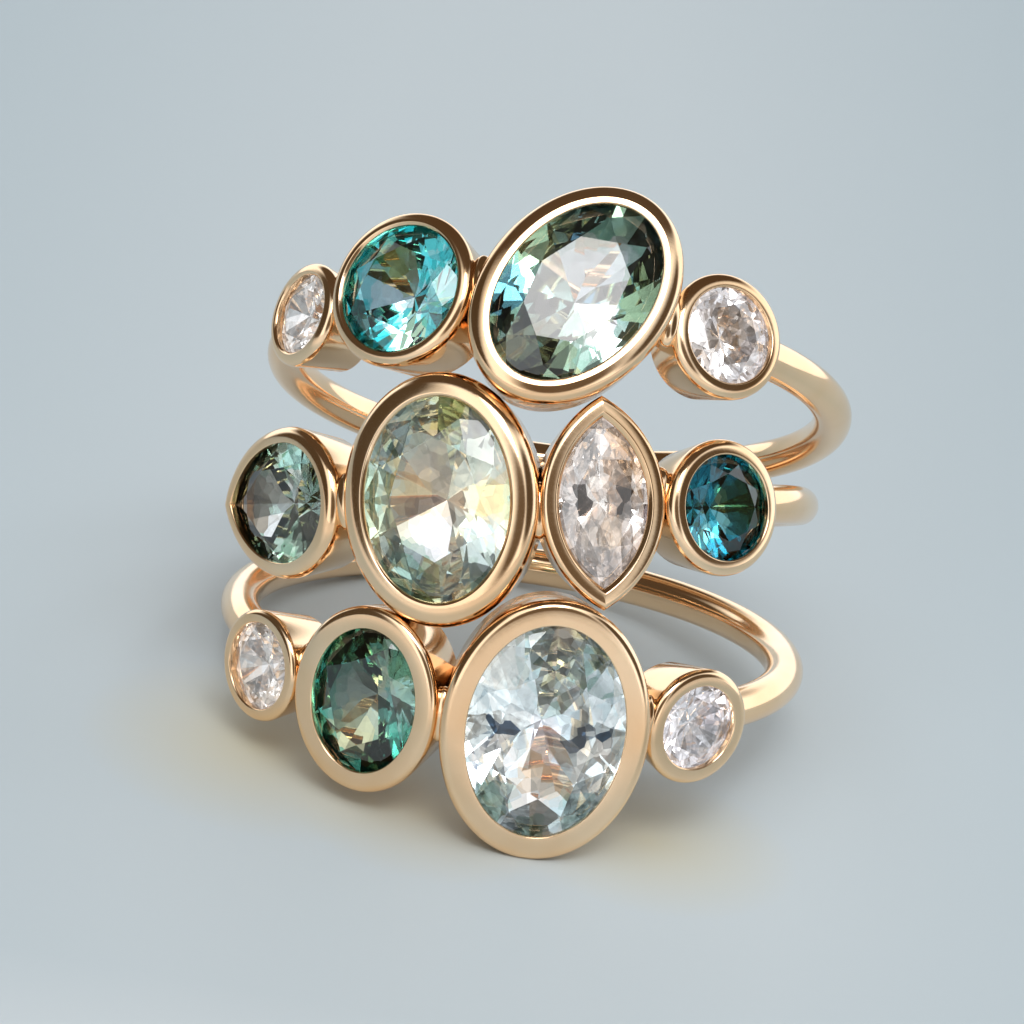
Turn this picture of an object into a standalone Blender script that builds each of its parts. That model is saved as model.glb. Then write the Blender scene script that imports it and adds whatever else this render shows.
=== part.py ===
import math

import bmesh
import bpy
import numpy as np
from mathutils import Matrix, Vector
from mathutils.geometry import intersect_point_tri

for old in list(bpy.data.objects):
    bpy.data.objects.remove(old, do_unlink=True)

# sizes, in metres and degrees
WIRE_RADIUS = 0.00065
FINGER_RADIUS = 0.00865
CENTRE_RADIUS = FINGER_RADIUS + WIRE_RADIUS
WIRE_SIDES = 12
WIRE_STEP = 8.0

GIRDLE_STAND = 0.00125
GIRDLE_RADIUS = CENTRE_RADIUS + GIRDLE_STAND
RIM_RISE = 0.00050
LIP = 0.00018
LIP_EDGE = 0.00018
RIM_ROUND = 0.00016
TAPER = 0.00040
BASE_WALL = 0.00055
STONE_CLEARANCE = 0.00008
BAND_CLEARANCE = 0.00028
OUTLINE_POINTS = 32
SOLDER_RADIUS = 0.00058
SOLDER_STRETCH = 1.35

TABLE_RATIO = 0.58
CROWN_RATIO = 0.25
PAVILION_RATIO = 0.80
GIRDLE_HALF = 0.00006

REST_TILT = 9.8
REST_ROLL = -1.0

SMALL_DEPTH = 0.0022
LARGE_DEPTH = 0.0026

# a row for each stone, from left to right along its band
# cut, half width, half length, turn, rim width and depth of the bezel, stand off the girdle circle, material
TOP_ROW = [
    dict(name="top_round_small", cut="round", wide=0.00150, long=0.00150, turn=0, rim=0.00048, depth=SMALL_DEPTH,
         sit=-0.00018, height=-0.00040, look="white"),
    dict(name="top_round_teal", cut="round", wide=0.00230, long=0.00230, turn=0, rim=0.00048, depth=LARGE_DEPTH,
         sit=-0.00018, height=0.00000, look="teal"),
    dict(name="top_oval_large", cut="oval", wide=0.00248, long=0.00348, turn=-33, rim=0.00062, depth=LARGE_DEPTH,
         sit=0.00006, height=0.00007, look="mint"),
    dict(name="top_round_right", cut="round", wide=0.00175, long=0.00175, turn=0, rim=0.00050, depth=SMALL_DEPTH,
         sit=-0.00030, height=-0.00021, look="white"),
]
MIDDLE_ROW = [
    dict(name="middle_pear", cut="pear", wide=0.00212, long=0.00248, turn=90, rim=0.00053, depth=SMALL_DEPTH,
         sit=-0.00019, height=0.00015, look="olive"),
    dict(name="middle_oval_large", cut="oval", wide=0.00258, long=0.00344, turn=0, rim=0.00078, depth=LARGE_DEPTH,
         sit=-0.00010, height=0.00016, look="sage"),
    dict(name="middle_marquise", cut="marquise", wide=0.00163, long=0.00293, turn=0, rim=0.00060, depth=LARGE_DEPTH,
         sit=-0.00030, height=0.00000, look="champagne"),
    dict(name="middle_round_teal", cut="round", wide=0.00187, long=0.00187, turn=0, rim=0.00053, depth=SMALL_DEPTH,
         sit=-0.00007, height=-0.00016, look="deep_teal"),
]
BOTTOM_ROW = [
    dict(name="bottom_round_left", cut="round", wide=0.00160, long=0.00160, turn=0, rim=0.00045, depth=SMALL_DEPTH,
         sit=0.00008, height=-0.00012, look="white"),
    dict(name="bottom_oval_small", cut="oval", wide=0.00203, long=0.00255, turn=0, rim=0.00067, depth=LARGE_DEPTH,
         sit=0.00000, height=-0.00008, look="green"),
    dict(name="bottom_oval_large", cut="oval", wide=0.00274, long=0.00370, turn=0, rim=0.00076, depth=LARGE_DEPTH,
         sit=0.00012, height=-0.00004, look="aqua"),
    dict(name="bottom_round_right", cut="round", wide=0.00157, long=0.00157, turn=0, rim=0.00054, depth=SMALL_DEPTH,
         sit=-0.00008, height=0.00016, look="white"),
]

# a row for each band: the stone that fixes its place, that stone's angle, how far inside the girdle circle
# the side walls meet, the roll and the side shift over the band below
BANDS = [
    dict(name="bottom_band", row=BOTTOM_ROW, lead=2, angle=5.3, inside=0.00050, roll=0.0, shift=0.0),
    dict(name="middle_band", row=MIDDLE_ROW, lead=1, angle=-17.0, inside=0.00075, roll=-7.6, shift=-0.00017),
    dict(name="top_band", row=TOP_ROW, lead=2, angle=0.4, inside=0.00050, roll=8.1, shift=0.00125),
]

# grams per cubic centimetre
DENSITIES = {"gold": 13.1, "white": 3.52, "champagne": 3.52}
STONE_DENSITY = 3.06

LOOKS = {
    "gold": ((0.84, 0.58, 0.33), 0.16, 1.0),
    "white": ((0.86, 0.84, 0.84), 0.03, 0.0),
    "teal": ((0.05, 0.50, 0.56), 0.03, 0.0),
    "deep_teal": ((0.01, 0.27, 0.36), 0.03, 0.0),
    "mint": ((0.60, 0.78, 0.74), 0.03, 0.0),
    "sage": ((0.62, 0.72, 0.60), 0.03, 0.0),
    "aqua": ((0.72, 0.84, 0.84), 0.03, 0.0),
    "green": ((0.10, 0.38, 0.30), 0.03, 0.0),
    "olive": ((0.16, 0.24, 0.16), 0.03, 0.0),
    "champagne": ((0.84, 0.74, 0.68), 0.03, 0.0),
}


def arc_points(centre_x, radius, start, end, count):
    steps = np.linspace(start, end, count)
    return [(centre_x + radius * math.cos(a), radius * math.sin(a)) for a in steps]


def oval_outline(wide, long, offset, count):
    points = []
    for angle in np.linspace(0, 2 * math.pi, count + 1)[:-1]:
        normal = Vector((math.cos(angle) / wide, math.sin(angle) / long)).normalized()
        points.append((wide * math.cos(angle) + offset * normal.x, long * math.sin(angle) + offset * normal.y))
    return points


def marquise_outline(wide, long, offset, count):
    radius = (wide * wide + long * long) / (2 * wide)
    grown = radius + offset
    inset = radius - wide
    reach = math.acos(inset / grown)
    half = count // 2
    right = arc_points(-inset, grown, -reach, reach, half + 1)
    return right[:-1] + [(-x, -y) for x, y in right[:-1]]


def pear_outline(wide, long, offset, count):
    tip = 2 * long - wide
    radius = (wide * wide + tip * tip) / (2 * wide)
    inset = radius - wide
    reach = math.acos(inset / (radius + offset))
    side = count * 5 // 16
    bowl = count - 2 * side
    right = arc_points(-inset, radius + offset, 0, reach, side + 1)
    left = [(-x, y) for x, y in reversed(right)]
    under = arc_points(0, wide + offset, math.pi, 2 * math.pi, bowl + 1)
    centre = long - wide
    return [(x, y - centre) for x, y in right[:-1] + left[:-1] + under[:-1]]


OUTLINES = {"round": oval_outline, "oval": oval_outline, "marquise": marquise_outline, "pear": pear_outline}


def outline(stone, offset, count=OUTLINE_POINTS):
    turn = math.radians(stone["turn"])
    flat = OUTLINES[stone["cut"]](stone["wide"], stone["long"], offset, count)
    return [(x * math.cos(turn) - y * math.sin(turn), x * math.sin(turn) + y * math.cos(turn)) for x, y in flat]


def wall_offset(stone):
    return stone["rim"] - LIP


def blank_sections(stone):
    wall = wall_offset(stone)
    return [
        (wall - TAPER, RIM_RISE - stone["depth"]),
        (wall, RIM_RISE - RIM_ROUND),
        (wall - 0.3 * RIM_ROUND, RIM_RISE - 0.3 * RIM_ROUND),
        (wall - RIM_ROUND, RIM_RISE),
    ]


def pocket_sections(stone):
    base = wall_offset(stone) - TAPER - BASE_WALL
    return [
        (base, RIM_RISE - stone["depth"] - 0.0004),
        (base, RIM_RISE - stone["depth"] + 0.0003),
        (STONE_CLEARANCE, -GIRDLE_HALF - STONE_CLEARANCE),
        (STONE_CLEARANCE, GIRDLE_HALF + STONE_CLEARANCE),
        (-LIP, RIM_RISE - LIP_EDGE),
        (-LIP, RIM_RISE + 0.0004),
    ]


def side_reach(stone, side):
    wall = wall_offset(stone) - 0.5 * TAPER
    return max(side * x for x, y in outline(stone, wall))


def stone_angles(band):
    row = band["row"]
    angles = {band["lead"]: band["angle"]}

    meet = GIRDLE_RADIUS - band["inside"]

    def step(left, right):
        return math.degrees(math.asin(side_reach(row[left], 1) / meet)
                            + math.asin(side_reach(row[right], -1) / meet))

    for i in range(band["lead"] + 1, len(row)):
        angles[i] = angles[i - 1] + step(i - 1, i)
    for i in range(band["lead"] - 1, -1, -1):
        angles[i] = angles[i + 1] - step(i, i + 1)
    return [angles[i] for i in range(len(row))]


def stone_matrix(stone, angle):
    a = math.radians(angle)
    across = Vector((math.cos(a), math.sin(a), 0))
    up = Vector((0, 0, 1))
    out = Vector((math.sin(a), -math.cos(a), 0))
    place = out * (GIRDLE_RADIUS + stone["sit"]) + up * stone["height"]
    return Matrix.Translation(place) @ Matrix((across, up, out)).transposed().to_4x4()


def shank_ends(band):
    angles = stone_angles(band)
    first, last = band["row"][0], band["row"][-1]
    bite_first = side_reach(first, -1) - 0.5 * wall_offset(first)
    bite_last = side_reach(last, 1) - 0.5 * wall_offset(last)
    start = angles[-1] + math.degrees(math.asin(bite_last / CENTRE_RADIUS))
    end = 360 + angles[0] - math.degrees(math.asin(bite_first / CENTRE_RADIUS))
    return start, end


def cloud(band):
    points = []
    for stone, angle in zip(band["row"], stone_angles(band)):
        place = stone_matrix(stone, angle)
        base, shoulder, _, top = blank_sections(stone)
        for share in (0.0, 0.25, 0.5, 0.75, 1.0):
            offset = base[0] + share * (shoulder[0] - base[0])
            height = base[1] + share * (shoulder[1] - base[1])
            points += [place @ Vector((x, y, height)) for x, y in outline(stone, offset, 64)]
        points += [place @ Vector((x, y, top[1])) for x, y in outline(stone, top[0], 64)]
    return np.array(points)


def shank_line(band):
    start, end = shank_ends(band)
    angles = np.radians(np.linspace(start, end, 90))
    return np.stack([CENTRE_RADIUS * np.sin(angles), -CENTRE_RADIUS * np.cos(angles), 0 * angles], axis=1)


def joints(band):
    found = []
    row, angles = band["row"], stone_angles(band)
    for i in range(len(row) - 1):
        sides = []
        for stone, angle in zip(row[i:i + 2], angles[i:i + 2]):
            place = stone_matrix(stone, angle)
            ring = outline(stone, wall_offset(stone) - 0.5 * TAPER, 64)
            sides.append([place @ Vector((x, y, RIM_RISE - 0.55 * stone["depth"])) for x, y in ring])
        pair = min(((a, b) for a in sides[0] for b in sides[1]), key=lambda ends: (ends[0] - ends[1]).length)
        found.append((pair[0] + pair[1]) / 2)
    return found


def moved(points, matrix):
    m = np.array(matrix)
    return points @ m[:3, :3].T + m[:3, 3]


def nearest(first, second):
    best = math.inf
    for chunk in np.array_split(first, 8):
        gaps = ((chunk[:, None, :] - second[None, :, :]) ** 2).sum(axis=2)
        best = min(best, gaps.min())
    return math.sqrt(best)


def over(below, band, tilt, lift):
    back = Vector((0, CENTRE_RADIUS, 0))
    turn = Matrix.Rotation(math.radians(-tilt), 4, "X") @ Matrix.Rotation(math.radians(band["roll"]), 4, "Y")
    return below @ Matrix.Translation(back + Vector((band["shift"], 0, lift))) @ turn @ Matrix.Translation(-back)


def solve(low, high, enough):
    for _ in range(12):
        middle = (low + high) / 2
        if enough(middle):
            high = middle
        else:
            low = middle
    return high


def place_bands():
    places = [Matrix.Identity(4)]
    for lower, upper in zip(BANDS, BANDS[1:]):
        below = places[-1]
        low_cloud, low_line = moved(cloud(lower), below), moved(shank_line(lower), below)
        up_cloud, up_line = cloud(upper), shank_line(upper)
        wire_gap = 2 * WIRE_RADIUS + BAND_CLEARANCE

        def wires_clear(tilt, lift):
            return nearest(moved(up_line, over(below, upper, tilt, lift)), low_line) > wire_gap

        def lift_for(tilt):
            return solve(0.0, 0.004, lambda lift: wires_clear(tilt, lift))

        def clear(tilt):
            place = over(below, upper, tilt, lift_for(tilt))
            cups = nearest(moved(up_cloud, place), low_cloud) > BAND_CLEARANCE
            wire_over = nearest(moved(up_line, place), low_cloud) > WIRE_RADIUS + BAND_CLEARANCE
            wire_under = nearest(moved(up_cloud, place), low_line) > WIRE_RADIUS + BAND_CLEARANCE
            return cups and wire_over and wire_under

        tilt = 30.0
        while tilt > 4 and clear(tilt - 1):
            tilt -= 1
        tilt = solve(tilt - 1, tilt, clear)
        lift = lift_for(tilt)
        print(f"{upper['name']} tilt over the band below {tilt:.2f} lift {lift * 1000:.2f} mm")
        places.append(over(below, upper, tilt, lift))
    return places


def material(name):
    colour, roughness, metallic = LOOKS[name]
    made = bpy.data.materials.new(name)
    made.use_nodes = True
    shader = made.node_tree.nodes["Principled BSDF"]
    shader.inputs["Base Color"].default_value = (*colour, 1)
    shader.inputs["Roughness"].default_value = roughness
    shader.inputs["Metallic"].default_value = metallic
    return made


def add_object(name, mesh, collection, matrix, parent=None):
    made = bpy.data.objects.new(name, mesh)
    collection.objects.link(made)
    made.parent = parent
    made.matrix_basis = matrix
    return made


def finish(bm, name):
    bmesh.ops.recalc_face_normals(bm, faces=bm.faces)
    mesh = bpy.data.meshes.new(name)
    bm.to_mesh(mesh)
    bm.free()
    return mesh


def loft(name, stone, sections):
    bm = bmesh.new()
    loops = []
    for offset, height in sections:
        verts = [bm.verts.new((x, y, height)) for x, y in outline(stone, offset)]
        loops.append([bm.edges.new((a, b)) for a, b in zip(verts, verts[1:] + verts[:1])])
    for low, high in zip(loops, loops[1:]):
        bmesh.ops.bridge_loops(bm, edges=low + high)
    bmesh.ops.contextual_create(bm, geom=loops[0])
    bmesh.ops.contextual_create(bm, geom=loops[-1])
    return finish(bm, name)


def shank_mesh(band):
    start, end = shank_ends(band)
    bm = bmesh.new()
    stand = Matrix.Translation((0, -CENTRE_RADIUS, 0)) @ Matrix.Rotation(math.radians(90), 4, "Y")
    turn = Matrix.Rotation(math.radians(start), 4, "Z")
    bmesh.ops.create_circle(bm, cap_ends=True, radius=WIRE_RADIUS, segments=WIRE_SIDES, matrix=turn @ stand)
    steps = round((end - start) / WIRE_STEP)
    bmesh.ops.spin(bm, geom=bm.verts[:] + bm.edges[:] + bm.faces[:], cent=(0, 0, 0), axis=(0, 0, 1),
                   angle=math.radians(end - start), steps=steps)
    return finish(bm, band["name"])


def solder_mesh():
    bm = bmesh.new()
    bmesh.ops.create_uvsphere(bm, u_segments=10, v_segments=6, radius=SOLDER_RADIUS)
    bmesh.ops.scale(bm, vec=(1, 1, SOLDER_STRETCH), verts=bm.verts)
    return finish(bm, "solder")


def stone_mesh(stone):
    crown = CROWN_RATIO * stone["wide"]
    pavilion = PAVILION_RATIO * stone["wide"]
    star, lower = 0.80, 0.24
    half_step = math.cos(math.pi / 8)
    star_height = crown * (1 - star * half_step) / (1 - TABLE_RATIO)
    lower_height = pavilion * (1 - lower * half_step)
    rings = [
        (TABLE_RATIO, 0, GIRDLE_HALF + crown),
        (star, 1, GIRDLE_HALF + star_height),
        (1.0, None, GIRDLE_HALF),
        (1.0, None, -GIRDLE_HALF),
        (lower, 1, -GIRDLE_HALF - lower_height),
    ]
    edge = outline(stone, 0.0, 16)
    bm = bmesh.new()
    for share, phase, height in rings:
        for k, (x, y) in enumerate(edge):
            if phase is None or k % 2 == phase:
                bm.verts.new((share * x, share * y, height))
    bm.verts.new((0, 0, -GIRDLE_HALF - pavilion))
    bmesh.ops.convex_hull(bm, input=bm.verts)
    bmesh.ops.dissolve_limit(bm, angle_limit=math.radians(0.5), verts=bm.verts, edges=bm.edges)
    return finish(bm, stone["name"])


def boolean(target, tool, operation):
    cut = target.modifiers.new(f"{operation.lower()} {tool.name}", "BOOLEAN")
    cut.operation = operation
    cut.solver = "EXACT"
    cut.object = tool


def resting_turn(bodies):
    depsgraph = bpy.context.evaluated_depsgraph_get()
    hull = bmesh.new()
    weight, moment, everything = 0.0, np.zeros(3), []
    for body in bodies:
        shaped = body.evaluated_get(depsgraph).data
        shaped.calc_loop_triangles()
        spots = np.array([body.matrix_world @ v.co for v in shaped.vertices]) * 1000
        corners = spots[np.array([t.vertices[:] for t in shaped.loop_triangles])]
        volumes = np.einsum("ij,ij->i", corners[:, 0], np.cross(corners[:, 1], corners[:, 2])) / 6
        density = DENSITIES.get(body.data.materials[0].name, STONE_DENSITY)
        weight += density * volumes.sum()
        moment += density * (volumes[:, None] * corners.sum(axis=1) / 4).sum(axis=0)
        everything.append(spots)
        for spot in spots:
            hull.verts.new(spot)
    centre = Vector(moment / weight)
    bmesh.ops.convex_hull(hull, input=hull.verts)
    bmesh.ops.recalc_face_normals(hull, faces=hull.faces)
    under = [f.normal.copy() for f in hull.faces
             if len(f.verts) == 3 and intersect_point_tri(centre, *[v.co for v in f.verts])]
    hull.free()
    face_down = min(under, key=lambda normal: normal.z)
    turn = face_down.rotation_difference(Vector((0, 0, -1)))
    turned = np.concatenate(everything) @ np.array(turn.to_matrix()).T / 1000
    low, high = turned.min(axis=0), turned.max(axis=0)
    print(f"weight {weight / 1000:.3f} g")
    return turn, Vector((-(low[0] + high[0]) / 2, -(low[1] + high[1]) / 2, -low[2]))


parts = bpy.data.collections.new("three_band_ring")
tools = bpy.data.collections.new("shaping_tools")
for group in (parts, tools):
    bpy.context.scene.collection.children.link(group)

root = bpy.data.objects.new("ring", None)
parts.objects.link(root)
root.matrix_basis = (Matrix.Rotation(math.radians(-REST_TILT), 4, "X")
                     @ Matrix.Rotation(math.radians(REST_ROLL), 4, "Y"))
materials = {look: material(look) for look in LOOKS}

made_bands = []
for band, place in zip(BANDS, place_bands()):
    metal = add_object(band["name"], shank_mesh(band), parts, place, root)
    metal.data.materials.append(materials["gold"])
    made_bands.append(metal)
    pockets = []
    for stone, angle in zip(band["row"], stone_angles(band)):
        seat = stone_matrix(stone, angle)
        blank_mesh = loft("blank", stone, blank_sections(stone))
        blank = add_object(stone["name"] + "_blank", blank_mesh, tools, seat, metal)
        pocket_mesh = loft("pocket", stone, pocket_sections(stone))
        pocket = add_object(stone["name"] + "_pocket", pocket_mesh, tools, seat, metal)
        boolean(metal, blank, "UNION")
        pockets.append(pocket)
        gem = add_object(stone["name"], stone_mesh(stone), parts, seat, metal)
        gem.data.materials.append(materials[stone["look"]])
    for spot in joints(band):
        solder = add_object(band["name"] + "_solder", solder_mesh(), tools, Matrix.Translation(spot), metal)
        boolean(metal, solder, "UNION")
    for pocket in pockets:
        boolean(metal, pocket, "DIFFERENCE")

for tool in tools.objects:
    tool.display_type = "WIRE"
    tool.hide_render = True

bpy.context.view_layer.update()
down, shift = resting_turn([thing for thing in parts.objects if thing.type == "MESH"])
root.matrix_basis = Matrix.Translation(shift) @ down.to_matrix().to_4x4() @ root.matrix_basis
print("resting turn in degrees", [round(math.degrees(a), 2) for a in down.to_euler()])
for band in BANDS:
    print(band["name"], [round(a, 1) for a in stone_angles(band)])
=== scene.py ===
import math
import bmesh
import bpy
from mathutils import Euler, Matrix, Vector


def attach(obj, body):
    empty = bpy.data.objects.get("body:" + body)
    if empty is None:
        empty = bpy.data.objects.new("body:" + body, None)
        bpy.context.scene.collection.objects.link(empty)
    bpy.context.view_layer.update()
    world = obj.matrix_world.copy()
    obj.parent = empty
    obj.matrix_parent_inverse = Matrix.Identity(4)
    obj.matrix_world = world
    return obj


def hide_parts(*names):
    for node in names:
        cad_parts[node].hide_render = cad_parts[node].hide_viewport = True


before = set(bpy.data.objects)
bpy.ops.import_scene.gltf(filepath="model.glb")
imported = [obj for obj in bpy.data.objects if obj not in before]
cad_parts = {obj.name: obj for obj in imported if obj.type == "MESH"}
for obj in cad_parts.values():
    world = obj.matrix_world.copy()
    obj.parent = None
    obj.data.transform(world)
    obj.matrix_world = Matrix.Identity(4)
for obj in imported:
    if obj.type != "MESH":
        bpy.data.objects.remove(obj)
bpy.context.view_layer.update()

millimetre = 0.001  # shapes are worked out in mm and shrunk at the end
weld = dict(loop=0.0005, piece=0.0003, plane=0.00001)  # how near points count as one, in mm

# where each band lies, in mm and degrees: middle of its hoop, its turn, ends of its wire, and its solder points
bands = {
    "bottom_band": dict(place=(0.2690, 0.3817, 2.3384), turn=(-9.9034, -3.6702, 0.1744), ends=(42.89, 301.45),
                        solder=[(-6.364, -7.679, 0.199), (-2.181, -9.822, -0.060), (3.956, -9.257, 0.340)]),
    "middle_band": dict(place=(-0.1711, 1.4408, 6.4928), turn=(-25.5424, -10.5409, 3.4502), ends=(45.8, 294.38),
                        solder=[(-5.687, -8.212, 0.155), (0.060, -9.736, -0.224), (3.777, -8.972, 0.238)]),
    "top_band": dict(place=(0.2908, 3.4572, 10.1958), turn=(-38.6489, -4.24, -1.6852), ends=(39.39, 296.97),
                     solder=[(-6.937, -6.859, 0.224), (-2.819, -9.509, 0.252), (2.950, -9.460, -0.170)]),
}

# each stone and bezel, mm and degrees: half width and length, turn, rim, depth, place on its band, shape of its rim
stones = {
    "top_round_small": dict(band="top_band", cut="round", wide=1.50, long=1.50, turn=0, rim=0.48, depth=2.2,
                            angle=-54.06, sit=-0.18, height=-0.40, dome=0.07, crown=0.32, chamfer=0.08, look="white"),
    "top_round_teal": dict(band="top_band", cut="round", wide=2.30, long=2.30, turn=0, rim=0.54, depth=2.6,
                           angle=-31.09, sit=-0.18, height=0.0, dome=0.10, crown=0.34, chamfer=0.11, look="teal"),
    "top_oval_large": dict(band="top_band", cut="oval", wide=2.48, long=3.48, turn=-33, rim=0.76, depth=2.6,
                           angle=0.4, sit=0.06, height=0.07, dome=0.16, crown=0.38, chamfer=0.03, ring=0.20,
                           look="mint"),
    "top_round_right": dict(band="top_band", cut="round", wide=1.75, long=1.75, turn=0, rim=0.56, depth=2.2,
                            angle=28.79, sit=-0.30, height=-0.21, dome=0.09, crown=0.38, chamfer=0.05, look="white"),
    "middle_pear": dict(band="middle_band", cut="pear", wide=2.12, long=2.48, turn=90, rim=0.60, depth=2.2,
                        angle=-50.27, sit=-0.19, height=0.15, dome=0.08, crown=0.42, chamfer=0.04, look="olive"),
    "middle_oval_large": dict(band="middle_band", cut="oval", wide=2.58, long=3.44, turn=0, rim=0.90, depth=2.6,
                              angle=-17.0, sit=-0.10, height=0.16, dome=0.16, crown=0.58, chamfer=0.11, look="sage"),
    "middle_marquise": dict(band="middle_band", cut="marquise", wide=1.63, long=2.93, turn=0, rim=0.64, depth=2.6,
                            angle=11.58, sit=-0.30, height=0.0, dome=0.05, crown=0.26, chamfer=0.15, look="champagne"),
    "middle_round_teal": dict(band="middle_band", cut="round", wide=1.87, long=1.87, turn=0, rim=0.58, depth=2.2,
                              angle=34.36, sit=-0.07, height=-0.16, dome=0.08, crown=0.38, chamfer=0.05,
                              look="deep_teal"),
    "bottom_round_left": dict(band="bottom_band", cut="round", wide=1.60, long=1.60, turn=0, rim=0.45, depth=2.2,
                              angle=-49.05, sit=0.08, height=-0.12, dome=0.04, crown=0.24, chamfer=0.04, look="white"),
    "bottom_oval_small": dict(band="bottom_band", cut="oval", wide=2.03, long=2.55, turn=0, rim=0.75, depth=2.6,
                              angle=-26.13, sit=0.0, height=-0.08, dome=0.04, crown=0.30, chamfer=0.03, look="green"),
    "bottom_oval_large": dict(band="bottom_band", cut="oval", wide=2.74, long=3.70, turn=0, rim=0.86, depth=2.6,
                              angle=5.3, sit=0.12, height=-0.04, dome=0.04, crown=0.34, chamfer=0.03, look="aqua"),
    "bottom_round_right": dict(band="bottom_band", cut="round", wide=1.57, long=1.57, turn=0, rim=0.58, depth=2.2,
                               angle=33.3, sit=-0.08, height=0.16, dome=0.04, crown=0.28, chamfer=0.04, look="white"),
}
girdleCircle = 10.55  # how far the girdles of the stones stand from the axis of their hoop
girdleHalf = 0.06  # half the height of a girdle
rimRise = 0.5  # how far a rim stands over the middle of the girdle

print("frame loaded, bands and stones laid out")


class Signal:  # wraps a socket, so that shader maths reads as an expression
    def __init__(self, tree, socket=None):
        self.tree = tree
        self.socket = socket

    def node(self, kind, settings=None, inputs=None, out=0):
        made = self.tree.nodes.new(kind)
        for name, value in (settings or {}).items():
            setattr(made, name, value)
        for name, value in (inputs or {}).items():
            if isinstance(value, Signal):
                self.tree.links.new(value.socket, made.inputs[name])
            else:
                made.inputs[name].default_value = value
        return Signal(self.tree, made.outputs[out] if len(made.outputs) else None)

    def maths(self, operation, first, second):
        return self.node("ShaderNodeMath", {"operation": operation}, {0: first, 1: second})

    def __add__(self, other):
        return self.maths("ADD", self, other)

    def __radd__(self, other):
        return self.maths("ADD", other, self)

    def __sub__(self, other):
        return self.maths("SUBTRACT", self, other)

    def __rsub__(self, other):
        return self.maths("SUBTRACT", other, self)

    def __mul__(self, other):
        return self.maths("MULTIPLY", self, other)

    def __rmul__(self, other):
        return self.maths("MULTIPLY", other, self)

    def fit(self, fromLow, fromHigh, toLow, toHigh):  # stretches a range of values onto another
        inputs = {"Value": self, "From Min": fromLow, "From Max": fromHigh, "To Min": toLow, "To Max": toHigh}
        return self.node("ShaderNodeMapRange", {"clamp": True}, inputs)

    def blend(self, first, second):  # colours mixed by this value, through the colour sockets
        return self.node("ShaderNodeMix", {"data_type": "RGBA"}, {0: self, 6: first, 7: second}, out=2)

    def noise(self, scale, detail):
        return self.node("ShaderNodeTexNoise", None, {"Vector": self, "Scale": scale, "Detail": detail})

    def vector(self, operation, inputs, out=0):
        return self.node("ShaderNodeVectorMath", {"operation": operation}, inputs, out)

    def away(self, spot):  # distance from a spot
        return self.vector("DISTANCE", {0: self, 1: spot}, out="Value")


def colour(red, green, blue):
    return (red, green, blue, 1.0)


def startMaterial(name):
    made = bpy.data.materials.new(name)
    made.use_nodes = True
    made.node_tree.nodes.clear()
    return made, Signal(made.node_tree)


def closeMaterial(tree, shader):
    tree.node("ShaderNodeOutputMaterial", None, {"Surface": shader})


def bandPlace(name):
    band = bands[name]
    turn = Euler([math.radians(angle) for angle in band["turn"]], "XYZ").to_matrix().to_4x4()
    return Matrix.Translation(band["place"]) @ turn


def seatPlace(stone):  # stone frame: z out of the hoop, y along the finger
    angle = math.radians(stone["angle"])
    across = Vector((math.cos(angle), math.sin(angle), 0))
    out = Vector((math.sin(angle), -math.cos(angle), 0))
    place = out * (girdleCircle + stone["sit"]) + Vector((0, 0, stone["height"]))
    seat = Matrix.Translation(place) @ Matrix((across, Vector((0, 0, 1)), out)).transposed().to_4x4()
    return bandPlace(stone["band"]) @ seat @ Matrix.Rotation(math.radians(stone["turn"]), 4, "Z")


def bow(bm, start, centre, angle, steps):  # a curved run of edges, spun from one vertex
    made = bmesh.ops.spin(bm, geom=[start], cent=centre, axis=(0, 0, 1), angle=angle, steps=steps)
    return next(part for part in made["geom_last"] if isinstance(part, bmesh.types.BMVert))


def sideArc(wide, tip):  # radius of the arc from a side to a tip, and how far its centre lies past the middle
    radius = (wide * wide + tip * tip) / (2 * wide)
    return radius, radius - wide


def outlineLoop(bm, stone, grow, height, points=128):  # a closed loop of edges round the stone, grown by a distance
    wide, long = stone["wide"], stone["long"]
    before = set(bm.verts)
    if stone["cut"] in ("round", "oval"):
        made = bmesh.ops.create_circle(bm, cap_ends=False, radius=1.0, segments=points)["verts"]
        bmesh.ops.scale(bm, vec=(wide + grow, long + grow, 1), verts=made)
    elif stone["cut"] == "marquise":
        radius, inset = sideArc(wide, long)
        reach = math.acos(inset / (radius + grow))
        tip = bm.verts.new((0, -(radius + grow) * math.sin(reach), 0))
        top = bow(bm, tip, (-inset, 0, 0), 2 * reach, points // 2)
        bow(bm, top, (inset, 0, 0), 2 * reach, points // 2)
    else:
        radius, inset = sideArc(wide, 2 * long - wide)
        reach = math.acos(inset / (radius + grow))
        flank = points * 5 // 16
        right = bm.verts.new((wide + grow, 0, 0))
        tip = bow(bm, right, (-inset, 0, 0), reach, flank)
        left = bow(bm, tip, (inset, 0, 0), reach, flank)
        bow(bm, left, (0, 0, 0), math.pi, points - 2 * flank)
    fresh = [vert for vert in bm.verts if vert not in before]
    bmesh.ops.remove_doubles(bm, verts=fresh, dist=weld["loop"])
    fresh = [vert for vert in bm.verts if vert not in before]
    drop = wide - long if stone["cut"] == "pear" else 0
    bmesh.ops.translate(bm, vec=(0, drop, height), verts=fresh)
    return list({edge for vert in fresh for edge in vert.link_edges})


# the bezels, in mm, with shares of the chamfer
bezel = dict(lip=0.18, lipDepth=0.24, taper=0.40, footWall=0.55, footHigh=0.3, footRound=(0.10, 0.06),
             seatGap=0.03, seatTop=0.09, seatLow=-0.12, edgeMost=0.03, edgeShare=0.3, edgeLeast=0.005,
             chamferShare=0.8, chamferDrop=0.02, step=0.01, lean=0.02)


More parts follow.
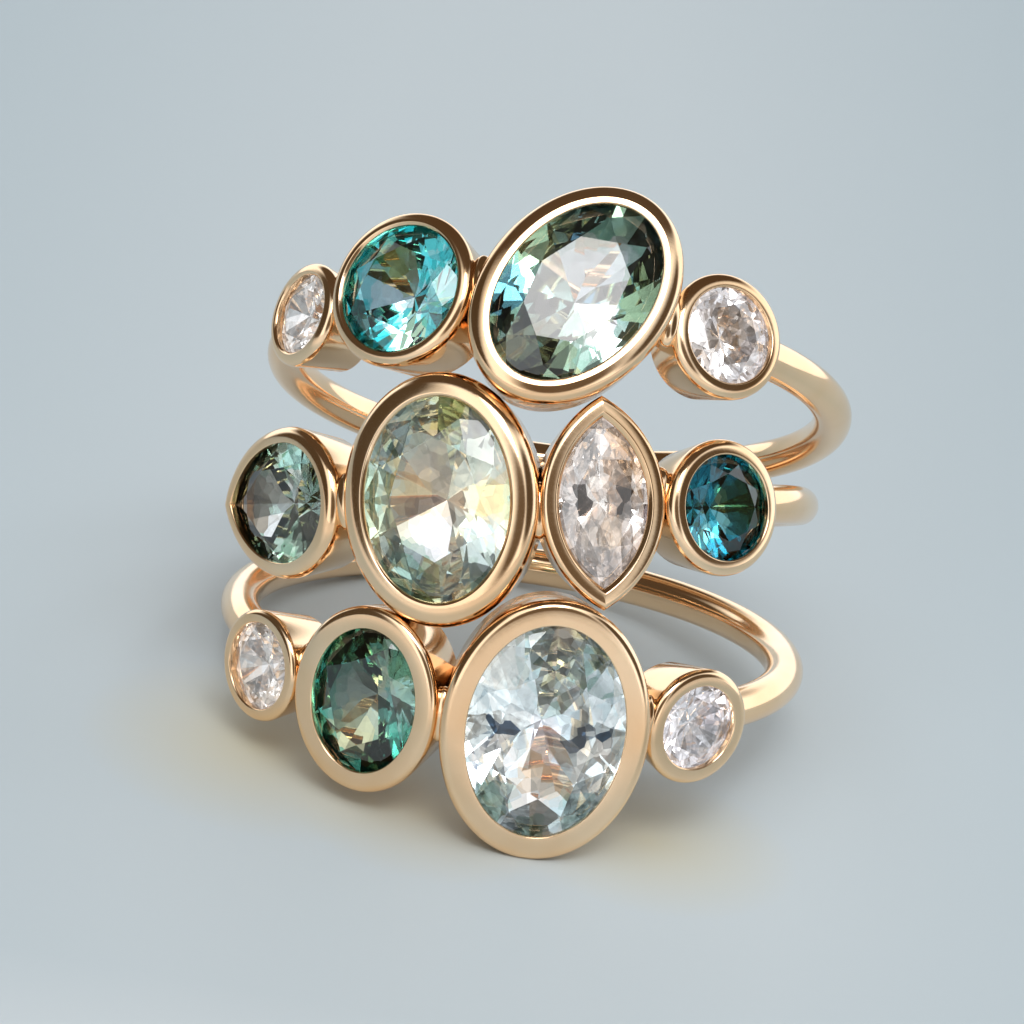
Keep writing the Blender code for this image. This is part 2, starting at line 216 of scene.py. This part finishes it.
def makeBezel(stone):
    bm = bmesh.new()
    wall = stone["rim"] - bezel["lip"]
    foot = wall - bezel["taper"]
    low = rimRise - stone["depth"]
    lip, chamfer = bezel["lip"], stone["chamfer"]
    lipEdge = min(bezel["edgeMost"], bezel["edgeShare"] * chamfer + bezel["edgeLeast"])
    outside, inside = bezel["footRound"]
    sections = [  # how far out from the stone, how high, and how wide and fine the edge is rounded
        (foot, low, outside, 3),
        (wall, rimRise - stone["dome"], stone["crown"], 8),
        (chamfer - lip, rimRise - bezel["step"], lipEdge, 3),
        (-lip, rimRise - bezel["chamferShare"] * chamfer - bezel["chamferDrop"], lipEdge, 3),
        (bezel["lean"] - lip, rimRise - bezel["lipDepth"], 0, 0),
        (bezel["seatGap"], bezel["seatTop"], 0, 0),
        (bezel["seatGap"], bezel["seatLow"], 0, 0),
        (foot - bezel["footWall"], low + bezel["footHigh"], 0, 0),
        (foot - bezel["footWall"], low, inside, 2),
    ]
    if "ring" in stone:  # a flat ring inside, with a crease where the rounding starts
        sections.insert(2, (chamfer - lip + stone["ring"], rimRise, bezel["edgeMost"], 2))
    loops = [outlineLoop(bm, stone, grow, height) for grow, height, _, _ in sections]
    for first, second in zip(loops, loops[1:] + loops[:1]):
        bmesh.ops.bridge_loops(bm, edges=first + second)
    for loop, (_, _, width, segments) in zip(loops, sections):
        if width:
            edges = [edge for edge in loop if edge.is_valid]
            bmesh.ops.bevel(bm, geom=edges, offset=width, segments=segments, profile=0.5, affect="EDGES", material=-1)
    bmesh.ops.transform(bm, matrix=seatPlace(stone), verts=bm.verts)
    return bm


# the wires, in mm: catch is how near, in radii, the points of one ring lie to its middle
wire = dict(radius=0.65, hoop=9.3, sides=40, steps=200, flare=0.22, flareSteps=8, catch=1.02)


def makeWire(name):
    bm = bmesh.new()
    start, end = (math.radians(angle) for angle in bands[name]["ends"])
    stand = Matrix.Translation((0, -wire["hoop"], 0)) @ Matrix.Rotation(math.radians(90), 4, "Y")
    turn = Matrix.Rotation(start, 4, "Z")
    bmesh.ops.create_circle(bm, cap_ends=True, radius=wire["radius"], segments=wire["sides"], matrix=turn @ stand)
    disc = bm.verts[:] + bm.edges[:] + bm.faces[:]
    bmesh.ops.spin(bm, geom=disc, cent=(0, 0, 0), axis=(0, 0, 1), angle=end - start, steps=wire["steps"])
    for tip, sign in ((start, 1), (end, -1)):  # the solder makes the wire flare where it meets a bezel
        for step in range(wire["flareSteps"]):
            at = tip + sign * step * (end - start) / wire["steps"]
            middle = Vector((wire["hoop"] * math.sin(at), -wire["hoop"] * math.cos(at), 0))
            ring = [vert for vert in bm.verts if (vert.co - middle).length < wire["radius"] * wire["catch"]]
            flare = 1 + wire["flare"] * (1 - step / wire["flareSteps"]) ** 3
            bmesh.ops.scale(bm, vec=(flare, flare, flare), space=Matrix.Translation(-middle), verts=ring)
    bmesh.ops.transform(bm, matrix=bandPlace(name), verts=bm.verts)
    return bm


solder = dict(radius=0.42, stretch=2.2, stand=0.56, sides=28, rings=18)


def makeSolder(name):
    bm = bmesh.new()
    for spot in bands[name]["solder"]:
        made = bmesh.ops.create_uvsphere(
            bm, u_segments=solder["sides"], v_segments=solder["rings"], radius=solder["radius"])
        bead = made["verts"]
        bmesh.ops.scale(bm, vec=(1, 1, solder["stretch"]), verts=bead)
        out = Vector((spot[0], spot[1], 0)).normalized() * solder["stand"]
        bmesh.ops.transform(bm, matrix=bandPlace(name) @ Matrix.Translation(Vector(spot) + out), verts=bead)
    return bm


def join(bm, part):  # adds a made part to a piece
    mesh = bpy.data.meshes.new("part")
    part.to_mesh(mesh)
    part.free()
    bm.from_mesh(mesh)
    bpy.data.meshes.remove(mesh)


def finishPiece(bm, name, material, sharp):  # edges over the sharp angle stay hard, and zero keeps facets flat
    bmesh.ops.remove_doubles(bm, verts=bm.verts, dist=weld["piece"])
    bmesh.ops.recalc_face_normals(bm, faces=bm.faces)
    bmesh.ops.scale(bm, vec=(millimetre,) * 3, verts=bm.verts)
    mesh = bpy.data.meshes.new(name)
    bm.to_mesh(mesh)
    bm.free()
    if sharp:
        mesh.shade_smooth()
        mesh.set_sharp_from_angle(angle=math.radians(sharp))
    piece = bpy.data.objects.new(name, mesh)
    bpy.context.scene.collection.objects.link(piece)
    piece.data.materials.append(material)
    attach(piece, "root")
    return piece


# the gold: scales are in waves per metre, depths in metres
gold = dict(deep=(0.93, 0.62, 0.36), pale=(1.0, 0.74, 0.49), roughness=0.12, roughnessSpread=0.08, sharp=28,
            cloud=260.0, cloudStops=(0.35, 0.65), grain=5200.0, grainShare=0.4, scratch=2600.0, scratchShare=0.6,
            scratchTurn=(0.5, 0.3, 0.9), scratchStretch=(1, 9, 1), hand=800.0, bump=0.05, bumpDepth=0.00002,
            ripple=0.000005)


def goldMaterial():
    made, tree = startMaterial("roseGold")
    place = tree.node("ShaderNodeTexCoord", out="Object")
    cloud = place.noise(gold["cloud"], 3.0)
    grain = place.noise(gold["grain"], 2.0)
    turned = tree.node("ShaderNodeMapping", None, {
        "Vector": place, "Rotation": gold["scratchTurn"], "Scale": gold["scratchStretch"]})
    scratch = turned.noise(gold["scratch"], 2.0)
    tone = cloud.fit(*gold["cloudStops"], 0.0, 1.0).blend(colour(*gold["deep"]), colour(*gold["pale"]))
    spread = gold["roughnessSpread"]
    rough = cloud * spread + scratch * spread + (gold["roughness"] - spread)
    height = scratch * gold["scratchShare"] + grain * gold["grainShare"]
    hand = place.noise(gold["hand"], 1.0)
    ripple = tree.node("ShaderNodeBump", None, {"Height": hand, "Strength": 1.0, "Distance": gold["ripple"]})
    bump = tree.node("ShaderNodeBump", None, {
        "Height": height, "Strength": gold["bump"], "Distance": gold["bumpDepth"], "Normal": ripple})
    shader = tree.node("ShaderNodeBsdfPrincipled", None, {
        "Base Color": tone, "Metallic": 1.0, "Roughness": rough, "Normal": bump})
    closeMaterial(tree, shader)
    return made


goldMade = goldMaterial()
print("gold ready")

# the three bands: wire, bezels and solder in one piece each
for name in bands:
    bm = bmesh.new()
    join(bm, makeWire(name))
    for stone in stones.values():
        if stone["band"] == name:
            join(bm, makeBezel(stone))
    join(bm, makeSolder(name))
    piece = finishPiece(bm, name + "_gold", goldMade, gold["sharp"])
    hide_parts(name)
    print(name, "made")


# the cut of the stones: shares of the half width, or of the way from the middle to the girdle
cut = dict(table=0.58, crown=0.25, pavilion=0.80, star=0.80, lower=0.24, sides=96, spare=0.1,
           pearRound=(-67.5, -45, -20), pearSide=(0.12, 0.36, 0.60, 0.83, 1.0))
girdleCount = 16


def girdlePoints(stone):  # places round the girdle: the even ones carry the mains, the odd ones the stars
    wide, long = stone["wide"], stone["long"]
    found = []
    if stone["cut"] in ("round", "oval"):
        for k in range(girdleCount):
            angle = k * 2 * math.pi / girdleCount
            normal = Vector((math.cos(angle) / wide, math.sin(angle) / long, 0)).normalized()
            found.append((Vector((wide * math.cos(angle), long * math.sin(angle), 0)), normal))
        return found
    if stone["cut"] == "marquise":
        radius, inset = sideArc(wide, long)
        reach = math.acos(inset / radius)
        quarter = girdleCount // 4
        for side in (1, -1):
            for k in range(1 - quarter, quarter + 1):
                angle = reach * k / quarter
                spot = Vector((math.cos(angle) * radius - inset, math.sin(angle) * radius, 0)) * side
                normal = Vector((math.cos(angle), math.sin(angle), 0)) * side
                if k == quarter:
                    normal = Vector((0, side, 0))
                found.append((spot, normal))
        return found
    radius, inset = sideArc(wide, 2 * long - wide)
    centre = Vector((0, wide - long, 0))
    reach = math.degrees(math.acos(inset / radius))
    angles = [*cut["pearRound"], *(share * reach for share in cut["pearSide"])]
    right = []
    for angle in angles:
        normal = Vector((math.cos(math.radians(angle)), math.sin(math.radians(angle)), 0))
        spot = normal * wide if angle < 0 else normal * radius - Vector((inset, 0, 0))
        if angle == reach:
            normal = Vector((0, 1, 0))
        right.append((spot + centre, normal))
    flip = Matrix.Scale(-1, 3, (1, 0, 0))
    left = [(flip @ spot, flip @ normal) for spot, normal in reversed(right[:-1])]
    return right + left + [(Vector((0, -wide, 0)) + centre, Vector((0, -1, 0)))]


def cutAway(bm, first, second, third):  # cuts off what lies outside the plane through three points
    normal = (second - first).cross(third - first).normalized()
    if normal.dot(first) < 0:
        normal = -normal
    everything = bm.verts[:] + bm.edges[:] + bm.faces[:]
    made = bmesh.ops.bisect_plane(bm, geom=everything, dist=weld["plane"], plane_co=first, plane_no=normal,
                                   clear_outer=True)
    rim = [part for part in made["geom_cut"] if isinstance(part, bmesh.types.BMEdge) and part.is_boundary]
    if rim:
        bmesh.ops.holes_fill(bm, edges=rim, sides=0)


def cutStone(bm, stone):
    crown = cut["crown"] * stone["wide"]
    pavilion = cut["pavilion"] * stone["wide"]
    points = girdlePoints(stone)
    tableHigh = Vector((0, 0, girdleHalf + crown))
    culet = Vector((0, 0, -girdleHalf - pavilion))
    top = outlineLoop(bm, stone, 0.0, tableHigh.z, cut["sides"])
    base = outlineLoop(bm, stone, 0.0, culet.z - cut["spare"], cut["sides"])
    bmesh.ops.bridge_loops(bm, edges=top + base)
    bmesh.ops.holes_fill(bm, edges=top, sides=0)
    bmesh.ops.holes_fill(bm, edges=base, sides=0)
    above, below = Vector((0, 0, girdleHalf)), Vector((0, 0, -girdleHalf))

    def ridge(share, k, toTable, depth):  # where the planes of the mains beside place k cross, at a share of the radius
        spot, _ = points[k]
        heights = []
        for side in (k - 1, (k + 1) % girdleCount):
            edge, normal = points[side]
            reach = 1 - share * spot.dot(normal) / edge.dot(normal)
            heights.append(depth * reach / toTable)
        return spot * share, min(heights)

    for k in range(0, girdleCount, 2):
        spot, normal = points[k]
        along = normal.cross(Vector((0, 0, 1)))
        cutAway(bm, spot + above, spot + above + along, spot * cut["table"] + tableHigh)
        cutAway(bm, spot + below, spot + below + along, culet)
    for k in range(1, girdleCount, 2):
        before, after = points[k - 1][0], points[(k + 1) % girdleCount][0]
        flat, rise = ridge(cut["star"], k, 1 - cut["table"], crown)
        star = flat + above + Vector((0, 0, rise))
        cutAway(bm, before * cut["table"] + tableHigh, after * cut["table"] + tableHigh, star)
        flat, drop = ridge(cut["lower"], k, 1.0, pavilion)
        keel = flat + below - Vector((0, 0, drop))
        for side in (before, after):
            cutAway(bm, side + above, points[k][0] + above, star)
            cutAway(bm, side + below, points[k][0] + below, keel)
    bmesh.ops.transform(bm, matrix=seatPlace(stone), verts=bm.verts)


gems = {  # how much each look bends light and lets it through, and the strength of its glow: painted light that brightens the stone, though it is no lamp
    "white": dict(bend=2.40, clear=0.96, glowPainted=0.46),
    "champagne": dict(bend=2.40, clear=0.96, glowPainted=0.40),
    "teal": dict(bend=1.77, clear=1.0, glowPainted=0.02),
    "deep_teal": dict(bend=1.77, clear=1.0, glowPainted=0.0),
    "mint": dict(bend=1.77, clear=1.0, glowPainted=0.02),
    "sage": dict(bend=1.77, clear=1.0, glowPainted=0.17),
    "aqua": dict(bend=1.77, clear=1.0, glowPainted=0.26),
    "green": dict(bend=1.77, clear=1.0, glowPainted=0.02),
    "olive": dict(bend=1.77, clear=1.0, glowPainted=0.01),
}

# colour of each stone, its own tint mixed with painted light: white spots are painted highlights and near-black spots
# painted dark reflections; its heart, its edge, and spots as place (shares of half width and length), reach, colour
tintsAndPaintedLight = {
    "top_round_small": dict(heart=(0.98, 0.96, 0.95), edge=(0.95, 0.90, 0.86), spots=[]),
    "top_round_teal": dict(heart=(0.62, 0.76, 0.84), edge=(0.02, 0.50, 0.56), spots=[
        (-0.10, 0.38, 0.30, (0.36, 0.46, 0.22)), (0.34, 0.62, 0.26, (0.60, 0.96, 0.98)),
        (0.18, -0.80, 0.30, (0.50, 0.98, 0.98)), (0.74, 0.10, 0.26, (0.20, 0.75, 0.72))]),
    "top_oval_large": dict(heart=(0.95, 0.94, 0.98), edge=(0.30, 0.52, 0.42), spots=[
        (-0.70, -0.44, 0.26, (0.05, 0.18, 0.34)), (0.64, 0.36, 0.30, (0.18, 0.42, 0.33)),
        (-0.37, 0.71, 0.26, (0.22, 0.45, 0.36)), (0.46, -0.12, 0.24, (1.0, 1.0, 0.98)),
        (-0.18, -0.69, 0.20, (0.85, 0.98, 1.0)), (-0.80, 0.12, 0.22, (0.60, 0.60, 0.32)),
        (0.38, -0.70, 0.26, (0.36, 0.42, 0.24))]),
    "top_round_right": dict(heart=(0.97, 0.93, 0.90), edge=(0.94, 0.92, 0.95), spots=[
        (0.10, 0.20, 0.30, (0.88, 0.72, 0.58)), (0.40, -0.20, 0.25, (0.75, 0.66, 0.62))]),
    "middle_pear": dict(heart=(0.80, 0.80, 0.74), edge=(0.20, 0.36, 0.25), spots=[
        (-0.42, 0.10, 0.34, (0.95, 0.97, 0.97)), (0.00, 0.80, 0.50, (0.20, 0.15, 0.10)),
        (0.68, -0.40, 0.26, (0.22, 0.56, 0.45))]),
    "middle_oval_large": dict(heart=(1.0, 0.84, 0.64), edge=(0.50, 0.68, 0.55), spots=[
        (0.15, 0.88, 0.26, (0.58, 0.64, 0.26)), (-0.65, 0.55, 0.30, (0.58, 0.76, 0.74)),
        (0.60, 0.45, 0.36, (0.84, 0.94, 0.97)), (-0.30, 0.05, 0.22, (0.96, 0.70, 0.36)),
        (-0.05, -0.40, 0.28, (0.95, 0.92, 0.95)), (-0.80, -0.30, 0.22, (0.96, 0.96, 0.66)),
        (0.65, -0.05, 0.22, (0.90, 0.86, 0.52)), (0.65, -0.45, 0.26, (0.85, 0.98, 1.0)),
        (-0.40, -0.70, 0.28, (0.20, 0.38, 0.28)), (0.10, -0.88, 0.18, (0.92, 1.0, 1.0))]),
    "middle_marquise": dict(heart=(1.0, 0.95, 0.90), edge=(0.97, 0.90, 0.87), spots=[
        (0.42, 0.40, 0.40, (0.80, 0.56, 0.38)), (-0.46, 0.02, 0.16, (0.02, 0.014, 0.012)),
        (0.36, 0.00, 0.19, (0.02, 0.014, 0.012)), (0.86, -0.06, 0.14, (0.25, 0.20, 0.22)),
        (0.10, -0.30, 0.22, (0.90, 0.76, 0.62))]),
    "middle_round_teal": dict(heart=(0.05, 0.26, 0.32), edge=(0.005, 0.15, 0.23), spots=[
        (0.55, 0.10, 0.50, (0.02, 0.09, 0.06)), (-0.22, -0.32, 0.26, (0.60, 0.80, 0.88)),
        (-0.60, -0.60, 0.22, (0.30, 0.86, 1.0)), (-0.10, 0.08, 0.16, (0.42, 0.58, 0.34))]),
    "bottom_round_left": dict(heart=(0.98, 0.95, 0.94), edge=(0.97, 0.90, 0.84), spots=[
        (-0.40, -0.40, 0.30, (0.96, 0.82, 0.70))]),
    "bottom_oval_small": dict(heart=(0.42, 0.52, 0.47), edge=(0.04, 0.27, 0.20), spots=[
        (-0.15, -0.46, 0.34, (0.62, 0.62, 0.38)), (0.08, 0.66, 0.26, (0.07, 0.22, 0.17)),
        (0.76, 0.14, 0.28, (0.24, 0.66, 0.60)), (-0.60, 0.66, 0.18, (0.45, 0.78, 0.42))]),
    "bottom_oval_large": dict(heart=(0.80, 0.91, 0.95), edge=(0.70, 0.84, 0.88), spots=[
        (0.00, -0.08, 0.20, (0.88, 0.86, 0.94)), (-0.50, 0.03, 0.12, (0.002, 0.008, 0.025)),
        (0.39, 0.00, 0.11, (0.002, 0.008, 0.025)), (0.68, -0.03, 0.10, (0.002, 0.008, 0.025)),
        (-0.56, -0.30, 0.26, (1.0, 1.0, 1.0)), (0.64, -0.30, 0.26, (1.0, 1.0, 0.97)),
        (-0.03, -0.46, 0.24, (0.80, 0.62, 0.46)), (-0.05, -0.64, 0.12, (0.97, 0.92, 0.88)),
        (-0.56, -0.68, 0.24, (0.36, 0.56, 0.46)), (0.50, -0.76, 0.22, (0.50, 0.72, 0.70)),
        (0.00, -0.92, 0.20, (0.30, 0.46, 0.36)), (0.05, 0.88, 0.22, (1.0, 0.97, 0.88)),
        (-0.60, 0.60, 0.22, (0.96, 0.95, 0.86)), (-0.05, 0.40, 0.14, (0.42, 0.48, 0.44))]),
    "bottom_round_right": dict(heart=(0.98, 0.96, 0.98), edge=(0.96, 0.94, 0.98), spots=[
        (0.30, 0.25, 0.26, (0.80, 0.74, 0.78))]),
}


# the play of light, painted: size of the colour patches, and how much painted shade and painted glow a facet and a
# patch get
play = dict(patchScale=2.2, patchLoose=0.9, heart=(0.42, 0.72), spotFade=(1.20, 0.90), facetShadePainted=0.82, patchShadePainted=0.78,
            facetGlowPainted=(0.2, 1.0, 0.1, 1.0), patchGlowPainted=(0.3, 0.9, 0.15, 1.0), dust=9000.0, dustRough=0.02,
            dustBump=0.005, dustDepth=0.00001, facetStep=12.9898, facetStart=4.1)


def gemMaterial(name, stone):
    gem, tintAndPaintedLight = gems[stone["look"]], tintsAndPaintedLight[name]
    made, tree = startMaterial(name + "Gem")
    place = tree.node("ShaderNodeTexCoord", out="Object")
    seat = seatPlace(stone)
    unturn = seat.to_3x3().transposed()
    shift = -(unturn @ seat.to_translation())
    inside = tree.node("ShaderNodeMapping", None, {  # the stone's own frame, in mm
        "Vector": place, "Location": shift, "Rotation": unturn.to_euler(), "Scale": (1 / millimetre,) * 3})
    cells = {"Vector": inside, "Scale": play["patchScale"], "Randomness": play["patchLoose"]}
    middle = tree.node("ShaderNodeTexVoronoi", None, cells, out="Position")
    shade = tree.node("ShaderNodeTexVoronoi", None, cells, out="Color")
    chance = tree.node("ShaderNodeSeparateColor", None, {"Color": shade})
    flat = tree.node("ShaderNodeMapping", None, {
        "Vector": middle, "Scale": (1 / stone["wide"], 1 / stone["long"], 0)})
    reach = flat.vector("LENGTH", {0: flat}, out="Value")
    # the stone's tint with painted highlights and painted dark reflections laid in by place
    tone = reach.fit(*play["heart"], 0.0, 1.0).blend(colour(*tintAndPaintedLight["heart"]), colour(*tintAndPaintedLight["edge"]))
    outer, inner = play["spotFade"]
    for x, y, size, tint in tintAndPaintedLight["spots"]:
        tone = flat.away((x, y, 0)).fit(outer * size, inner * size, 0.0, 1.0).blend(tone, colour(*tint))
    # painted light and shade: the colour of each facet and patch is dimmed by a random share
    facet = tree.node("ShaderNodeAttribute", {"attribute_name": "facet"}, None, out="Fac")
    paintedShadeShare = facet.fit(0.0, 1.0, play["facetShadePainted"], 1.0) * chance.fit(0.0, 1.0, play["patchShadePainted"], 1.0)
    paintedShadeTone = tree.vector("SCALE", {0: tone, "Scale": paintedShadeShare})
    # painted light: the stone glows in its painted colours, more on some facets and patches than others
    paintedGlowShare = facet.fit(*play["facetGlowPainted"]) * chance.fit(*play["patchGlowPainted"])
    paintedGlowTint = tree.vector("SCALE", {0: tone, "Scale": paintedGlowShare})
    dust = place.noise(play["dust"], 2.0)
    bump = tree.node("ShaderNodeBump", None, {
        "Height": dust, "Strength": play["dustBump"], "Distance": play["dustDepth"]})
    shader = tree.node("ShaderNodeBsdfPrincipled", None, {
        "Base Color": paintedShadeTone, "Roughness": dust * play["dustRough"], "Normal": bump, "IOR": gem["bend"],
        "Transmission Weight": gem["clear"], "Emission Color": paintedGlowTint, "Emission Strength": gem["glowPainted"]})
    closeMaterial(tree, shader)
    return made


for name, stone in stones.items():
    bm = bmesh.new()
    cutStone(bm, stone)
    layer = bm.faces.layers.float.new("facet")
    for count, face in enumerate(bm.faces):  # painted light and shade: each facet gets its own brightness for its colour and its glow
        face[layer] = 0.5 + 0.5 * math.sin(play["facetStep"] * count + play["facetStart"])
    piece = finishPiece(bm, name + "_stone", gemMaterial(name, stone), 0)
    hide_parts(name)
print("stones cut")

# the floor: paler in front by painted light, deeper far off by painted shade, with painted warm light from the gold
ground = dict(size=1.2, pale=(0.56, 0.63, 0.67), deep=(0.53, 0.60, 0.64), far=(0.44, 0.53, 0.58),
              front=(0.86, 0.87, 0.88), warm=(0.62, 0.56, 0.36), roughness=0.50, drift=9.0, squeeze=(1.35, 0.15, 1),
              farFrom=0.013, farTo=0.036, farMost=0.8, frontFrom=-0.0225, frontTo=-0.048)
paintedGoldGlows = [  # painted pools of warm light from the gold, round the ring: place and reach in metres, strength
    (-0.0074, -0.0068, 0.0062, 0.70), (-0.0020, -0.0094, 0.0045, 0.60), (0.0054, -0.0084, 0.0050, 0.65)]


def floorMaterial():
    made, tree = startMaterial("paleFloor")
    place = tree.node("ShaderNodeTexCoord", out="Object")
    tone = place.noise(ground["drift"], 2.0).blend(colour(*ground["deep"]), colour(*ground["pale"]))
    broad = tree.node("ShaderNodeMapping", None, {"Vector": place, "Scale": ground["squeeze"]})
    reach = broad.vector("LENGTH", {0: broad}, out="Value")
    # painted shade: the floor darkens far off
    far = reach.fit(ground["farFrom"], ground["farTo"], 0.0, ground["farMost"])
    tone = far.blend(tone, colour(*ground["far"]))
    # painted light: the floor pales in front
    ahead = tree.node("ShaderNodeSeparateXYZ", None, {"Vector": place}, out="Y")
    tone = ahead.fit(ground["frontFrom"], ground["frontTo"], 0.0, 1.0).blend(tone, colour(*ground["front"]))
    # painted light: warm glow from the gold laid round the ring
    for x, y, size, strength in paintedGoldGlows:
        tone = place.away((x, y, 0)).fit(size, 0.0, 0.0, strength).blend(tone, colour(*ground["warm"]))
    shader = tree.node("ShaderNodeBsdfPrincipled", None, {"Base Color": tone, "Roughness": ground["roughness"]})
    closeMaterial(tree, shader)
    return made


bm = bmesh.new()
bmesh.ops.create_grid(bm, x_segments=1, y_segments=1, size=ground["size"])
mesh = bpy.data.meshes.new("floor")
bm.to_mesh(mesh)
bm.free()
floor = bpy.data.objects.new("floor", mesh)
bpy.context.scene.collection.objects.link(floor)
floor.data.materials.append(floorMaterial())

# soft light: one soft box high in front, a wide faint one overhead, and a pale room
lights = {
    "key": dict(place=(0.012, -0.200, 0.287), size=0.14, power=0.30, tint=(1.0, 0.99, 0.98), shows=True),
    "over": dict(place=(0.0, -0.10, 1.10), size=1.40, power=6.8, tint=(0.97, 0.99, 1.0), shows=False),
}
aimPoint = Vector((0, 0, 0.01))
for name, light in lights.items():
    lamp = bpy.data.lights.new(name, "AREA")
    lamp.shape = "SQUARE"
    lamp.size = light["size"]
    lamp.energy = light["power"]
    lamp.color = light["tint"]
    holder = bpy.data.objects.new(name, lamp)
    bpy.context.scene.collection.objects.link(holder)
    aim = (aimPoint - Vector(light["place"])).to_track_quat("-Z", "Y")
    holder.matrix_world = Matrix.LocRotScale(Vector(light["place"]), aim, None)
    holder.visible_glossy = light["shows"]

room = dict(pale=(0.86, 0.90, 0.93), strength=1.62)
patches = {  # dark places that the gold mirrors: direction, outer and inner half angle, tint
    "camera": dict(ahead=(0.12, -0.92, 0.36), wide=27, narrow=15, tint=(0.09, 0.07, 0.05)),
    "right": dict(ahead=(0.80, -0.42, 0.42), wide=30, narrow=19, tint=(0.06, 0.045, 0.03)),
    "left": dict(ahead=(-0.97, -0.14, 0.22), wide=46, narrow=34, tint=(0.05, 0.038, 0.025)),
    "ceiling": dict(ahead=(-0.06, 0.34, 0.94), wide=53, narrow=42, tint=(0.055, 0.038, 0.024)),
}


def makeRoom():
    world = bpy.data.worlds.new("studio")
    world.use_nodes = True
    world.node_tree.nodes.clear()
    tree = Signal(world.node_tree)
    facing = tree.node("ShaderNodeTexCoord", out="Generated")
    air = colour(*room["pale"])
    for patch in patches.values():
        ahead = tuple(Vector(patch["ahead"]).normalized())
        near = tree.vector("DOT_PRODUCT", {0: facing, 1: ahead}, out="Value")
        wide, narrow = (math.cos(math.radians(patch[key])) for key in ("wide", "narrow"))
        air = near.fit(wide, narrow, 0.0, 1.0).blend(air, colour(*patch["tint"]))
    back = tree.node("ShaderNodeBackground", None, {"Color": air, "Strength": room["strength"]})
    tree.node("ShaderNodeOutputWorld", None, {"Surface": back})
    return world


bpy.context.scene.world = makeRoom()
print("floor and light ready")

# the camera, fitted to the photograph
view = dict(place=(-0.010246, -0.150848, 0.073585), right=(0.9815943, 0.0212636, 0.1897908),
            up=(-0.1818851, 0.4070843, 0.8950978), ahead=(0.0582279, 0.9131430, -0.4034592),
            lens=173.30, sensor=36.0, near=0.005, far=10.0)
lens = bpy.data.cameras.new("view")
lens.lens = view["lens"]
lens.sensor_width = view["sensor"]
lens.clip_start = view["near"]
lens.clip_end = view["far"]
camera = bpy.data.objects.new("view", lens)
bpy.context.scene.collection.objects.link(camera)
stance = Matrix((Vector(view["right"]), Vector(view["up"]), -Vector(view["ahead"]))).transposed().to_4x4()
camera.matrix_world = Matrix.Translation(view["place"]) @ stance
bpy.context.scene.camera = camera
bpy.context.scene.view_settings.view_transform = "Standard"
